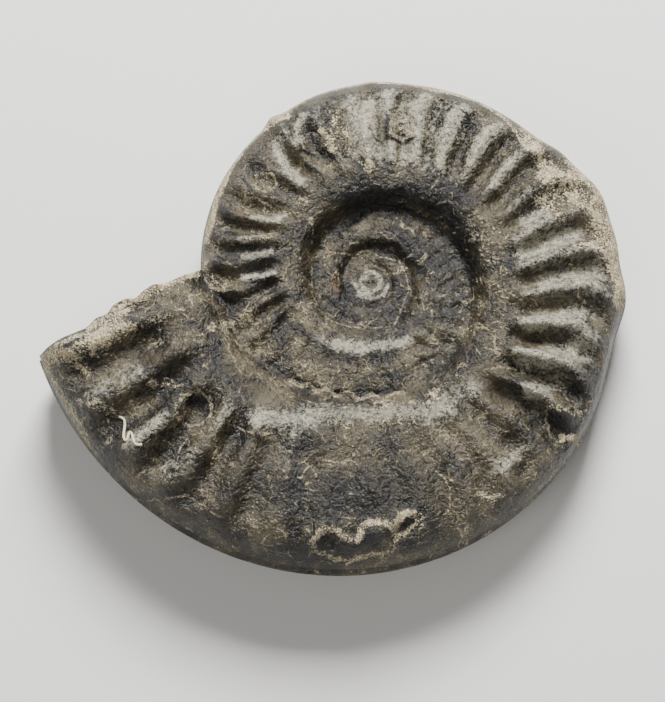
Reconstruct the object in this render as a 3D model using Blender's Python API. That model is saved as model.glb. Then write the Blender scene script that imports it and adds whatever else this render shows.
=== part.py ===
"""A hildoceras ammonite: one fossil shell of stone, lying on its flank on a worn underside.

The shell coils in a nearly level plane round the Z axis, with its broken aperture at the left, -X.
A turn is the angle along the shell in degrees: 0 at +Y, growing clockwise seen from above towards
the aperture, and 360 less for each whorl inward. s is the place across a whorl: 0 at its inner seam,
1 at its keel. Lengths are millimetres until the last step, which scales the mesh to metres.
"""

import bmesh
import bpy
import numpy as np

MM = 0.001

# The break across the aperture runs from the notch, on the rim of the whorl before, to the tip
NOTCH_TURN = -90.0
TIP_TURN = 253.0
BREAK_SAG = 1.5
BREAK_ROUGHNESS = 0.5
WALL_WAVES = (2.1, 1.9)

# Growth of the shell, and its thickness over the height of a whorl
START_RADIUS = 34.0
GROWTH = 2.058
WHORLS = 5
THICKNESS = 0.365

# Radius of a seam over the keel radius of the whorl that it covers: at first, then added twice
SEAM_YOUNG = 0.68
SEAM_MIDDLE = 0.135
SEAM_LAST = 0.05

# Half of a whorl's cross-section, from the seam over the flank to the keel: s and height
SECTION = (
    (0.00, 0.42), (0.05, 0.60), (0.12, 0.84), (0.20, 0.95), (0.35, 1.00), (0.43, 0.965), (0.52, 0.985),
    (0.70, 0.94), (0.84, 0.85), (0.92, 0.73), (0.967, 0.55), (0.99, 0.36), (1.00, 0.00),
)
SHOULDER, SHOULDER_HEIGHT = 0.967, 0.55
# The venter between its two shoulders, three keels and two grooves: height, and depth under the keel
VENTER = ((0.36, 0.010), (0.17, 0.038), (0.00, 0.000), (-0.17, 0.038), (-0.36, 0.010))

# Sickle ribs: the turn of each crest near the seam, and the step between them in the inner whorls,
# then how far the crests lag behind, and their height over the whorl's height
RIB_CRESTS = (
    -82.0, -71.5, -62.0, -51.0, -39.5, -27.5, -15.5, -4.0, 8.0, 19.0, 30.0, 42.0, 53.5, 64.0, 75.0, 86.0,
    96.0, 107.0, 117.5, 128.0, 138.5, 148.5, 158.5, 169.0, 180.0, 191.0, 202.0, 213.0, 222.5, 233.5, 244.0,
    255.0, 266.0, 277.0,
)
RIB_STEP = 10.7
LAG_MIDDLE = 4.2
LAG_RIM = 1.8
RIB_HEIGHT = 0.050
BACK_RIBS = 0.6

# Matrix left on the rim: middle turn, half width in degrees, and height in mm
RIM_LUMPS = (
    (52.0, 4.0, 0.7), (66.0, 11.0, 3.0), (79.0, 6.0, 1.3), (90.0, 7.0, 2.1), (-18.0, 16.0, 0.6),
    (-34.0, 2.6, 0.8), (-2.0, 6.0, 0.4), (108.0, 8.0, -0.5),
)

# Lumps, scars and pits on the upper flank: x, y, radius and height in mm
KNOBS = (
    (-52.3, -29.5, 3.0, 0.9), (-48.6, -28.0, 2.0, 0.8), (-39.1, -22.7, 4.4, 0.8), (-36.5, -17.8, 3.2, 0.7),
    (-33.9, -27.9, 2.3, -1.5), (-42.4, -21.7, 1.1, -0.9), (-12.3, 22.3, 3.4, -0.7), (-16.6, 24.4, 1.9, 0.9),
    (-22.2, 12.2, 3.0, -0.6), (-24.3, 14.6, 1.7, 0.8), (5.2, 29.7, 2.1, -0.5), (38.6, -29.3, 2.6, -1.0),
    (41.4, -31.3, 1.9, 0.7), (-28.6, 3.8, 2.2, 0.7), (49.0, 12.0, 3.2, 0.7), (44.0, 20.0, 3.6, 0.8),
    (38.0, 27.0, 3.0, 0.8), (52.0, 1.5, 2.4, 0.8), (50.0, -12.0, 2.4, 0.5),
)
KNOB_EDGE = 1.5

# A wavy ledge of crust along the lower rim: its corners, half width and height in mm
LEDGE = (
    (-9.4, -54.2), (-8.0, -51.6), (-5.2, -51.2), (-2.6, -53.9), (0.2, -54.4), (2.2, -51.4), (4.6, -51.8),
    (6.4, -49.3), (10.0, -47.4),
)
LEDGE_HALF_WIDTH, LEDGE_HEIGHT = 1.5, 1.3

# How it lies: the middle plane dips a little to the right, and the underside is worn flat at Z = 0.
# The coil's axis stands beside the origin, which is the middle of the whole fossil.
MIDDLE_HEIGHT = 11.6
DIP = 0.035
AXIS_X, AXIS_Y = 6.92, 8.77

# The mesh is a strip along the spiral. Its columns follow the ribs, then bend to the break, and its
# rows are shares of the part that the next whorl leaves bare, or of the last whorl's outer part.
COLUMNS_PER_RIB = 4
RIBS_TO_TIP = 30.5
INNER_COLUMNS = 212
BEND_TURN = 200.0
INNER_ROWS = (0.0, 0.11, 0.26, 0.48, 0.72, 1.0)
OUTER_ROWS = (0.0, 0.55, 1.0)
OUTER_PART = 0.80
NOTCH_SPREAD = 25.0
NUCLEUS_HEIGHT = 0.5
MERGED = 1e-6

STONE_COLOUR = (0.055, 0.050, 0.043, 1.0)
STONE_ROUGHNESS = 0.42


def ease(value):
    """0 below 0, 1 above 1, and a smooth S between."""
    value = np.clip(value, 0.0, 1.0)
    return value * value * (3.0 - 2.0 * value)


def swell(value, middle, half_width):
    """A rounded bump of height 1."""
    return np.exp(-(((value - middle) / half_width) ** 2))


def plain_radius(turn):
    """Keel radius of the bare spiral: it grows by the same factor each turn."""
    return START_RADIUS * GROWTH ** ((turn - NOTCH_TURN) / 360.0)


def keel_radius(turn):
    """Keel radius with the matrix left on the rim."""
    lumps = sum(height * swell(turn, middle, width) for middle, width, height in RIM_LUMPS)
    return plain_radius(turn) + lumps


def seam_radius(turn):
    """Radius of the inner seam, on the flank of the whorl before. Past the tip it climbs to the notch."""
    middle = SEAM_MIDDLE * ease((turn + 10.0) / 130.0)
    last = SEAM_LAST * ease((turn - 150.0) / 90.0)
    seam = (SEAM_YOUNG + middle + last) * plain_radius(turn - 360.0)
    notch = START_RADIUS * (SHOULDER + (1.0 - SHOULDER) * SEAM_YOUNG / GROWTH)
    return seam + (notch - seam) * ease((turn - TIP_TURN) / (NOTCH_TURN + 360.0 - TIP_TURN))


def row_radius(turn, s):
    """Radius at s of the whorl that passes here at this turn."""
    return seam_radius(turn) + s * (keel_radius(turn) - seam_radius(turn))


def rib_lag(turn, s):
    """Degrees that a rib falls back by at s: back over the flank, and forward again at the rim."""
    lag = LAG_MIDDLE * ease((s - 0.20) / 0.56) - LAG_RIM * ease((s - 0.76) / 0.26)
    return np.degrees(lag / np.maximum(plain_radius(turn), START_RADIUS))


def break_radius(turn):
    """Distance from the axis to the line from the tip to the notch, a little sagged."""
    end = NOTCH_TURN + 360.0
    far, near = keel_radius(TIP_TURN), seam_radius(end)
    to_tip, to_end = np.radians(turn - TIP_TURN), np.radians(end - turn)
    straight = far * near * np.sin(to_tip + to_end) / (far * np.sin(to_tip) + near * np.sin(to_end))
    return straight - BREAK_SAG * np.sin(np.pi * (turn - TIP_TURN) / (end - TIP_TURN))


def break_turn(s):
    """The turn at which the break cuts the last whorl at s."""
    turns = np.linspace(NOTCH_TURN + 360.0, TIP_TURN, 200)
    cuts = (break_radius(turns) - seam_radius(turns)) / (keel_radius(turns) - seam_radius(turns))
    return np.interp(s, cuts, turns)


def bare_share(turn):
    """How far across the whorl the next whorl leaves it bare: to the shoulder from the notch onwards."""
    bare = (seam_radius(turn + 360.0) - seam_radius(turn)) / (keel_radius(turn) - seam_radius(turn))
    return np.where(turn < NOTCH_TURN, bare, SHOULDER)


def column_turn(rim_turn, s):
    """The turn at s of the column that ends at rim_turn: it follows the ribs, and at the end the break."""
    bend = ease((rim_turn - BEND_TURN) / (break_turn(SHOULDER) - BEND_TURN))
    ribs = rib_lag(rim_turn, bare_share(rim_turn)) - rib_lag(rim_turn, s)
    return rim_turn + (1.0 - bend) * ribs + bend * (break_turn(s) - break_turn(SHOULDER))


def rim_turns():
    """The turn of each column where it ends, at the rim or the next seam, and the columns of one turn."""
    counts = np.arange(0.0, RIBS_TO_TIP + 0.1, 1.0 / COLUMNS_PER_RIB)
    crests = np.interp(counts, np.arange(len(RIB_CRESTS)), RIB_CRESTS)
    whorl = np.concatenate([[NOTCH_TURN], crests - rib_lag(crests, SHOULDER), [break_turn(SHOULDER)]])
    turns, step = whorl, len(whorl) - 1
    while len(turns) < INNER_COLUMNS + step + 1:
        turns = np.concatenate([column_turn(turns[:step], 0.0) - 360.0, turns])
    return turns[-(INNER_COLUMNS + step + 1):], step


def rib_relief(turn, s):
    """Height of the ribs over the whorl's height: round crests and furrows that fade at seam and keel."""
    line = turn + rib_lag(turn, s)
    listed = np.interp(line, RIB_CRESTS, np.arange(len(RIB_CRESTS)))
    count = np.where(line < RIB_CRESTS[0], (line - RIB_CRESTS[0]) / RIB_STEP, listed)
    reach = ease((s - 0.22) / 0.24) * ease((SHOULDER - s) / 0.16)
    worn = 1.0 - 0.6 * swell(turn, 185.0, 20.0) - 0.35 * swell(turn, -35.0, 14.0)
    return RIB_HEIGHT * reach * worn * np.cos(2.0 * np.pi * count)


def whorl_height(radius, turn, ribs):
    """Height of one whorl's flank over the middle plane, and 0 beside the whorl."""
    inner = seam_radius(turn)
    width = keel_radius(turn) - inner
    s = (radius - inner) / width
    height = width * (THICKNESS * np.interp(s, *zip(*SECTION)) + ribs * rib_relief(turn, s))
    return np.where((s >= -0.001) & (s <= 1.0), height, 0.0)


def flank_height(radius, turn, ribs):
    """The highest of all whorls at this place."""
    turn = (turn - NOTCH_TURN + MERGED) % 360.0 + NOTCH_TURN - MERGED
    return np.maximum.reduce([whorl_height(radius, turn - 360.0 * number, ribs) for number in range(WHORLS)])


def surface_marks(x, y):
    """Height of the lumps, pits and wavy ledge of the upper flank."""
    height = np.zeros_like(x)
    for knob_x, knob_y, radius, rise in KNOBS:
        height += rise * np.exp(-((np.hypot(x - knob_x, y - knob_y) / radius) ** (2.0 * KNOB_EDGE)))
    nearest = np.full_like(x, np.inf)
    for (x1, y1), (x2, y2) in zip(LEDGE, LEDGE[1:]):
        length = np.hypot(x2 - x1, y2 - y1)
        along = np.clip(((x - x1) * (x2 - x1) + (y - y1) * (y2 - y1)) / length**2, 0.0, 1.0)
        nearest = np.minimum(nearest, np.hypot(x - x1 - along * (x2 - x1), y - y1 - along * (y2 - y1)))
    return height + LEDGE_HEIGHT * np.exp(-((nearest / LEDGE_HALF_WIDTH) ** 4))


def placed(radius, turn, height):
    """Points at a height over the middle plane, which dips, none of them under the floor."""
    x, y = radius * np.sin(np.radians(turn)), radius * np.cos(np.radians(turn))
    height = np.maximum(MIDDLE_HEIGHT - DIP * x + height, 0.0)
    return np.stack([x + AXIS_X, y + AXIS_Y, height], axis=-1)


def flank_points(turn, s, side):
    """Points of a flank: side is 1 for the upper one, which has the marks, and -1 for the other."""
    radius = row_radius(turn, s)
    if side < 0:
        return placed(radius, turn, -flank_height(radius, turn, BACK_RIBS))
    marks = surface_marks(radius * np.sin(np.radians(turn)), radius * np.cos(np.radians(turn)))
    return placed(radius, turn, flank_height(radius, turn, 1.0) + marks)


def flank_strips(turns, step, side):
    """The bare part of all whorls, the outer part of the last one, and the cap in the middle."""
    rim = turns[:, None]
    spread = ease((rim - NOTCH_TURN) / NOTCH_SPREAD)
    bare = np.where(rim <= NOTCH_TURN, bare_share(rim), SHOULDER + spread * (OUTER_PART - SHOULDER))
    s = bare * np.array(INNER_ROWS)
    inner = flank_points(column_turn(rim, s), s, side)
    s = (bare + (SHOULDER - bare) * np.array(OUTER_ROWS))[INNER_COLUMNS:]
    outer = flank_points(column_turn(rim[INNER_COLUMNS:], s), s, side)
    loop = np.concatenate([inner[:step, 0], inner[0, ::-1]])
    middle = np.zeros_like(loop) + (AXIS_X, AXIS_Y, MIDDLE_HEIGHT + side * NUCLEUS_HEIGHT)
    return inner, outer, np.stack([middle, loop], axis=1)


def rim_band(last, upper, lower):
    """The rim round the outline, from the upper edge to the lower one: the keels, then the broken face."""
    edges = []
    for inner, outer, _ in (upper, lower):
        edges.append(np.concatenate([outer[:, -1], outer[-1, -2:0:-1], inner[-1, ::-1]]))
    offset = edges[0][:, :2] - (AXIS_X, AXIS_Y)
    turn = np.degrees(np.arctan2(*offset.T))
    turn[: len(last)] = last
    turn[-1] = NOTCH_TURN
    broken = np.arange(len(turn)) >= len(last)
    broken[-1] = False
    middle = MIDDLE_HEIGHT - DIP * offset[:, 0]
    rows = []
    for number, (height, depth) in enumerate(VENTER):
        groove = depth * (keel_radius(turn) - seam_radius(turn))
        waves = np.sin(WALL_WAVES[0] * number + WALL_WAVES[1] * np.arange(len(turn)))
        rough = BREAK_ROUGHNESS * (1.0 + waves)
        radius = np.where(broken, np.hypot(*offset.T) - rough, keel_radius(turn) - groove)
        edge = edges[0] if height > 0.0 else edges[1]
        rows.append(placed(radius, turn, (edge[:, 2] - middle) * abs(height) / SHOULDER_HEIGHT))
    return np.stack([edges[0], *rows, edges[1]], axis=1)


def add_sheet(body, points):
    """A grid of points as a sheet of quads."""
    grid = [[body.verts.new(point) for point in column] for column in points * MM]
    for left, right in zip(grid, grid[1:]):
        for a, b, c, d in zip(left, right, right[1:], left[1:]):
            body.faces.new((a, b, c, d))


def ammonite_mesh():
    """All sheets as one closed body: points that meet are merged, which joins each whorl to the next."""
    turns, step = rim_turns()
    upper, lower = flank_strips(turns, step, 1.0), flank_strips(turns, step, -1.0)
    body = bmesh.new()
    for sheet in (*upper, *lower, rim_band(turns[INNER_COLUMNS:], upper, lower)):
        add_sheet(body, sheet)
    bmesh.ops.remove_doubles(body, verts=body.verts, dist=MERGED)
    bmesh.ops.recalc_face_normals(body, faces=body.faces)
    mesh = bpy.data.meshes.new("ammonite")
    body.to_mesh(mesh)
    body.free()
    mesh.shade_smooth()
    return mesh


def stone_material():
    """Dark brown-grey limestone, polished on the ribs."""
    material = bpy.data.materials.new("dark limestone")
    material.use_nodes = True
    shader = material.node_tree.nodes["Principled BSDF"]
    shader.inputs["Base Color"].default_value = STONE_COLOUR
    shader.inputs["Roughness"].default_value = STONE_ROUGHNESS
    shader.inputs["Metallic"].default_value = 0.0
    return material


def main():
    for thing in list(bpy.data.objects):
        bpy.data.objects.remove(thing, do_unlink=True)
    collection = bpy.data.collections.new("hildoceras_ammonite")
    bpy.context.scene.collection.children.link(collection)
    ammonite = bpy.data.objects.new("ammonite", ammonite_mesh())
    ammonite.data.materials.append(stone_material())
    collection.objects.link(ammonite)


main()
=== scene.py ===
# %% [markdown]
# # A hildoceras ammonite
# The subject is one fossil shell, lying on its flank and seen almost from above. The animal built a
# tube that grew wider as it coiled, and mud turned to stone inside it. What shows now is a dark cast
# with sickle ribs, a keel round the rim, and thin pale crusts of calcite.
#
# The solid for collision comes in ready made, but it is faceted. So this scene makes a finer surface
# from the same spiral, stands it in for the solid, and gives it stone, crust and studio light.

import bmesh
import bpy
import numpy as np
from mathutils import Matrix, Vector


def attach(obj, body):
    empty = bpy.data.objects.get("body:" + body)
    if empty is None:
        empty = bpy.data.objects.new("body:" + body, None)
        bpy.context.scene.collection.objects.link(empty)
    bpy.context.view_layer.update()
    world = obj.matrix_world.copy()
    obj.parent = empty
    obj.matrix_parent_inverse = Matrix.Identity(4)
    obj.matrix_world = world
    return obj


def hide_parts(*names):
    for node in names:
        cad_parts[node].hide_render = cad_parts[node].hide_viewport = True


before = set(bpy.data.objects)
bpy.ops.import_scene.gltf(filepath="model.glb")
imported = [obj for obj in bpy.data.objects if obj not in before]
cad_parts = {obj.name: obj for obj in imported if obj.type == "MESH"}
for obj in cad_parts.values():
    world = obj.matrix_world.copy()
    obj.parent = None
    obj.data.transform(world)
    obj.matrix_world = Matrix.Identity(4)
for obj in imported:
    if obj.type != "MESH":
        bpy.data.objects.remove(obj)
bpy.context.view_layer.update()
MM = 0.001

# %% [markdown]
# ## The camera, and places seen in the picture
# The picture was taken from nearly above, 13 degrees off the vertical. The camera comes first, because
# the crusts and veins below are listed where the picture shows them, in its 665 x 702 pixels. Each such
# place is put on the shell by following the camera's line of sight down to the flank.

# %% Camera
# The shell's axis and middle plane in mm, and how much that plane falls for each mm to the right
AXIS_X, AXIS_Y, MIDDLE_HEIGHT, DIP = 6.92, 8.77, 11.6, 0.035
# In pixels: the focal length, the picture's width and height, and where it shows the axis
FOCAL_PIXELS, FRAME, AXIS_PIXEL = 3517.8, (665.0, 702.0), (371.2, 283.5)
# In degrees and mm
ELEVATION, ROLL, DISTANCE, SENSOR = 77.0, 2.743, 700.0, 36.0


def sight(pixel):
    """Line of sight through a pixel in the camera's own axes: right, up, and one step ahead."""
    across, down = pixel[0] - FRAME[0] / 2, pixel[1] - FRAME[1] / 2
    return Vector((across / FOCAL_PIXELS, -down / FOCAL_PIXELS, -1.0))


low, turned = np.radians(ELEVATION), np.radians(ROLL)
towards = Vector((0.0, -np.cos(low), np.sin(low)))
right, up = Vector((1.0, 0.0, 0.0)), towards.cross(Vector((1.0, 0.0, 0.0)))
right, up = np.cos(turned) * right + np.sin(turned) * up, np.cos(turned) * up - np.sin(turned) * right
level = Matrix((right, up, towards)).transposed()
aim = (level @ sight(AXIS_PIXEL)).rotation_difference(-towards).to_matrix() @ level
camera = bpy.data.objects.new("camera", bpy.data.cameras.new("camera"))
camera.data.sensor_width, camera.data.sensor_fit = SENSOR, "AUTO"
camera.data.lens = SENSOR * FOCAL_PIXELS / FRAME[1]
camera_place = Vector((AXIS_X, AXIS_Y, MIDDLE_HEIGHT)) + DISTANCE * towards
camera.matrix_world = Matrix.Translation(camera_place * MM) @ aim.to_4x4()
bpy.context.scene.collection.objects.link(camera)
bpy.context.scene.camera = camera
print("lens", round(camera.data.lens, 1), "mm")

# %% [markdown]
# ## Small tools for shapes
# Everything on this shell is a smooth function of two numbers: the turn, an angle along the shell, and
# s, the place across a whorl. Three small curves are enough to build it: an S that eases from 0 to 1,
# a bump, and a smooth curve through listed points. Broken stone also needs unevenness, which comes
# from random values on a square lattice, blended smoothly between the lattice points.

# %% Curves and unevenness
LATTICE = 64


def ease(value):
    """S curve: 0 below 0, 1 above 1, and 3v^2 - 2v^3 between."""
    value = np.clip(value, 0.0, 1.0)
    return value * value * (3.0 - 2.0 * value)


def swell(value, middle, half_width):
    """Bump of height 1: exp of minus the squared distance over the squared half width."""
    return np.exp(-(((value - middle) / half_width) ** 2))


def bumps(value, listed):
    """Sum of swells, each listed by its middle, half width and height."""
    return sum(height * swell(value, middle, half_width) for middle, half_width, height in listed)


def curve_through(value, points):
    """Smooth curve through points (x, y): on each span a cubic whose ends have the mean slope there."""
    x, y = np.array(points).T
    slope = np.gradient(y, x)
    span = np.clip(np.searchsorted(x, value) - 1, 0, len(x) - 2)
    width = x[span + 1] - x[span]
    t = np.clip((value - x[span]) / width, 0.0, 1.0)
    rise = y[span] + (y[span + 1] - y[span]) * ease(t)
    return rise + width * t * (1.0 - t) * (slope[span] * (1.0 - t) - slope[span + 1] * t)


def unevenness(x, y, cell, seed):
    """Random values from -1 to 1 on a lattice of that cell size, eased between lattice points."""
    values = np.random.default_rng(seed).uniform(-1.0, 1.0, (LATTICE, LATTICE))
    column, row = np.floor(x / cell).astype(int), np.floor(y / cell).astype(int)
    across, up = ease(x / cell - column), ease(y / cell - row)
    left, right = column % LATTICE, (column + 1) % LATTICE
    below, above = row % LATTICE, (row + 1) % LATTICE
    low = values[below, left] * (1.0 - across) + values[below, right] * across
    high = values[above, left] * (1.0 - across) + values[above, right] * across
    return low * (1.0 - up) + high * up


print("a swell of half width 1 is", round(float(swell(1.0, 0.0, 1.0)), 2), "high at 1")

# %% [markdown]
# ## The spiral
# A shell grows by the same factor with every turn, so the keel is a logarithmic spiral. The next whorl
# covers part of the one before, and the line where it lies on it is the seam. The adult of this kind
# covers less, so the seam climbs outward in the last turn.
#
# A turn is measured in degrees: 0 at the top of the picture, growing clockwise towards the aperture.

# %% Keel and seam
NOTCH_TURN, TIP_TURN = -90.0, 253.0
END_TURN = NOTCH_TURN + 360.0
START_RADIUS, GROWTH, WHORLS = 34.0, 2.058, 5
SHOULDER = 0.967
SKIN = 0.12

# The seam's share of the keel radius one turn before, and its two climbs: first turn, degrees, rise
SEAM_YOUNG = 0.68
SEAM_CLIMBS = ((-10.0, 130.0, 0.135), (150.0, 90.0, 0.05))

# Matrix left on the rim, and a dent in it: middle turn, half width in degrees, and height in mm
RIM_LUMPS = (
    (52.0, 4.0, 0.7), (66.0, 11.0, 3.0), (79.0, 6.0, 1.3), (90.0, 7.0, 2.1), (-18.0, 16.0, 0.6),
    (-34.0, 2.6, 0.8), (-2.0, 6.0, 0.4), (108.0, 8.0, -0.5),
)


def plain_radius(turn):
    """Keel radius of the bare spiral: start times growth to the power of the turns."""
    return START_RADIUS * GROWTH ** ((turn - NOTCH_TURN) / 360.0)


def keel_radius(turn):
    """The bare spiral and the lumps on its rim, less a skin, which keeps it inside the faceted solid."""
    return plain_radius(turn) - SKIN + bumps(turn, RIM_LUMPS)


def seam_radius(turn):
    """A share of the keel radius one turn before. Past the tip it climbs to the notch."""
    share = sum((rise * ease((turn - first) / degrees) for first, degrees, rise in SEAM_CLIMBS), SEAM_YOUNG)
    seam = share * plain_radius(turn - 360.0)
    notch = (START_RADIUS - SKIN) * SHOULDER + (1.0 - SHOULDER) * START_RADIUS * SEAM_YOUNG / GROWTH
    return seam + (notch - seam) * ease((turn - TIP_TURN) / (END_TURN - TIP_TURN))


print("last whorl", round(float(keel_radius(TIP_TURN) - seam_radius(TIP_TURN)), 1), "mm high at its tip")

# %% [markdown]
# ## Ribs and cross-section
# Hildoceras has sickle ribs: from the seam they run straight out, fall back over the flank, and swing
# forward again at the rim. No two are alike, so the turn of each crest in the last whorl is listed, and
# each point finds its rib by adding the lag at its s. The relief between crests is a cosine.

# %% Ribs
RIB_CRESTS = (
    -82.0, -71.5, -62.0, -51.0, -39.5, -27.5, -15.5, -4.0, 8.0, 19.0, 30.0, 42.0, 53.5, 64.0, 75.0, 86.0,
    96.0, 107.0, 117.5, 128.0, 138.5, 148.5, 158.5, 169.0, 180.0, 191.0, 202.0, 213.0, 222.5, 233.5, 244.0,
    255.0, 266.0, 277.0,
)
RIB_STEP = 10.7
# The s where ribs begin, and over how much s they grow there and fade before the shoulder
RIB_START, RIB_GROWS, RIB_FADES = 0.22, 0.24, 0.16
# How far a rib lags: millimetres, the s where that begins, and over how much s it grows
RIB_LAGS = ((4.2, 0.20, 0.56), (-1.8, 0.76, 0.26))
# As shares of the whorl's width. The ribs of the lower flank are a share of the upper ones
RIB_HEIGHT, BACK_RIBS = 0.050, 0.6
THICKNESS, SHOULDER_HEIGHT = 0.365, 0.55

# How strong the ribs are along the shell: turn and share
RIB_STRENGTH = (
    (-700.0, 0.10), (-320.0, 0.22), (-200.0, 0.30), (-120.0, 0.50), (-88.0, 1.05), (-72.0, 0.95),
    (-60.0, 0.50), (-44.0, 0.50), (-33.0, 0.95), (-22.0, 0.40), (-10.0, 0.45), (4.0, 0.75), (30.0, 0.65),
    (60.0, 0.90), (85.0, 1.20), (120.0, 1.15), (140.0, 0.60), (165.0, 0.30), (200.0, 0.30), (216.0, 0.80),
    (250.0, 1.00),
)
# And each rib's own random share, from the first rib of this number in rib_count onwards
FIRST_RIB, RIBS = -50, 90
RIB_SHARES = np.random.default_rng(4).uniform(0.70, 1.20, RIBS)

# Half of a whorl's cross-section, from the seam over the flank to the keel: s and height
SECTION = (
    (0.00, 0.42), (0.05, 0.60), (0.12, 0.84), (0.20, 0.95), (0.35, 1.00), (0.43, 0.965), (0.52, 0.985),
    (0.70, 0.94), (0.84, 0.85), (0.92, 0.73), (SHOULDER, SHOULDER_HEIGHT), (0.99, 0.36), (1.00, 0.00),
)
SEAM_SLACK = 0.001


def rib_lag(turn, s):
    """Degrees that a rib lags at s: millimetres back over the flank, less those forward at the rim."""
    lag = sum(back * ease((s - first) / length) for back, first, length in RIB_LAGS)
    return np.degrees(lag / np.maximum(plain_radius(turn), START_RADIUS))


def rib_count(turn, s):
    """How many ribs lie before this point: whole at a crest, and a half in a furrow."""
    line = turn + rib_lag(turn, s)
    listed = np.interp(line, RIB_CRESTS, np.arange(len(RIB_CRESTS)))
    return np.where(line < RIB_CRESTS[0], (line - RIB_CRESTS[0]) / RIB_STEP, listed)


def rib_relief(turn, s):
    """Cosine of the rib count, fading at seam and rim, with each rib's own share and that of its turn."""
    reach = ease((s - RIB_START) / RIB_GROWS) * ease((SHOULDER - s) / RIB_FADES)
    count = rib_count(turn, s)
    own_share = np.interp(count, np.arange(FIRST_RIB, FIRST_RIB + RIBS), RIB_SHARES)
    share = curve_through(turn, RIB_STRENGTH) * own_share
    return RIB_HEIGHT * reach * share * np.cos(2.0 * np.pi * count)


def whorl_height(radius, turn, ribs):
    """Height of one whorl over the middle plane: its width times section and ribs, and 0 beside it."""
    inner = seam_radius(turn)
    width = keel_radius(turn) - inner
    s = (radius - inner) / width
    height = width * (THICKNESS * curve_through(s, SECTION) + ribs * rib_relief(turn, s))
    return np.where((s >= -SEAM_SLACK) & (s <= 1.0), height, 0.0)


# What lies closer together than this counts as one
MERGED = 1e-6


def flank_height(radius, turn, ribs):
    """The highest of all whorls at this place."""
    turn = (turn - NOTCH_TURN + MERGED) % 360.0 + NOTCH_TURN - MERGED
    return np.maximum.reduce([whorl_height(radius, turn - 360.0 * number, ribs) for number in range(WHORLS)])


print(len(RIB_CRESTS), "ribs are listed")

# %% [markdown]
# ## Lumps, scars and pits
# Bits of the mud that buried the shell still stick to it, and bits of shell broke away with the rest.
# Each is a bump, up or down, with a steep edge. A wavy ledge of crust runs along the lower rim. Between
# some ribs the shell is pinched into a lens, dark from its own hollow and from painted shade. The rest is
# uneven on three scales, as broken and etched stone is.

# %% Marks on the upper flank
# Knobs and pits: x, y, radius and height in mm
KNOBS = (
    (-52.3, -29.5, 3.0, 0.9), (-48.6, -28.0, 2.0, 0.8), (-39.1, -22.7, 4.4, 0.8),
    (-36.5, -17.8, 3.2, 0.7), (-33.9, -27.9, 2.3, -1.5), (-42.4, -21.7, 1.1, -0.9),
    (-12.3, 22.3, 3.4, -0.7), (-16.6, 24.4, 1.9, 0.9), (-22.2, 12.2, 3.0, -0.6),
    (-24.3, 14.6, 1.7, 0.8), (5.2, 29.7, 2.1, -0.5), (38.6, -29.3, 2.6, -1.0), (41.4, -31.3, 1.9, 0.7),
    (-28.6, 3.8, 2.2, 0.7), (49.0, 12.0, 3.2, 0.7), (44.0, 20.0, 3.6, 0.8), (38.0, 27.0, 3.0, 0.8),
    (52.0, 1.5, 2.4, 0.8), (50.0, -12.0, 2.4, 0.5),
)
# The ledge's corners: x and y in mm
LEDGE = (
    (-9.4, -54.2), (-8.0, -51.6), (-5.2, -51.2), (-2.6, -53.9), (0.2, -54.4), (2.2, -51.4), (4.6, -51.8),
    (6.4, -49.3), (10.0, -47.4),
)
LEDGE_HALF_WIDTH, LEDGE_HEIGHT = 1.3, 1.3
# The higher this power, the steeper the edge
KNOB_EDGE, LEDGE_EDGE = 3.0, 4

# Furrows pinched to dark lenses, as seen in the picture: half width in mm, share, and pixels along each
LENSES = (
    (1.5, 1.0, (502, 180), (527, 162)), (1.5, 1.0, (522, 206), (545, 192)),
    (1.7, 1.0, (527, 242), (570, 224)), (1.7, 1.0, (547, 268), (597, 254)),
    (1.5, 1.0, (548, 298), (594, 290)), (1.6, 1.0, (536, 337), (590, 326)),
    (2.3, 1.0, (548, 384), (590, 362)), (1.4, 1.0, (530, 404), (549, 394)),
    (2.0, 1.0, (500, 444), (540, 426)), (1.3, 1.0, (419, 347), (444, 342)),
    (1.0, 0.9, (424, 361), (435, 358)), (1.0, 0.9, (413, 370), (424, 365)),
    (2.2, 0.9, (76, 368), (132, 348)), (1.9, 0.9, (108, 411), (144, 395)),
    (2.2, 1.0, (172, 494), (200, 468)), (1.0, 1.0, (241, 262), (274, 258)),
    (1.0, 1.0, (242, 284), (275, 278)), (1.1, 0.9, (243, 246), (267, 243)),
    (1.2, 0.8, (262, 308), (284, 298)), (1.3, 0.8, (284, 330), (300, 316)),
    (0.9, 0.8, (345, 159), (349, 118)), (0.8, 0.7, (361, 158), (361, 118)),
    (0.8, 0.7, (379, 156), (378, 112)), (1.2, 0.8, (404, 152), (404, 140)),
    (0.9, 0.7, (428, 150), (434, 122)), (1.0, 0.7, (459, 158), (472, 128)),
    (1.1, 0.7, (484, 172), (500, 146)), (0.8, 0.9, (341, 397), (352, 398)),
    (0.7, 0.9, (374, 395), (377, 393)), (0.8, 0.7, (300, 380), (312, 388)),
    (0.5, 0.8, (337, 240), (345, 231)), (0.5, 0.8, (348, 230), (354, 221)),
    (0.5, 0.7, (358, 222), (363, 214)), (0.6, 0.8, (441, 285), (455, 279)),
    (0.6, 0.8, (443, 300), (457, 294)), (0.5, 0.7, (300, 134), (312, 131), (325, 140)),
    (0.5, 0.7, (302, 150), (320, 152)), (1.6, 0.6, (236, 520), (250, 492)),
    (1.6, 0.5, (340, 512), (346, 482)), (1.5, 0.5, (448, 470), (476, 436)),
)
LENS_DEPTH = 0.65
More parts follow.
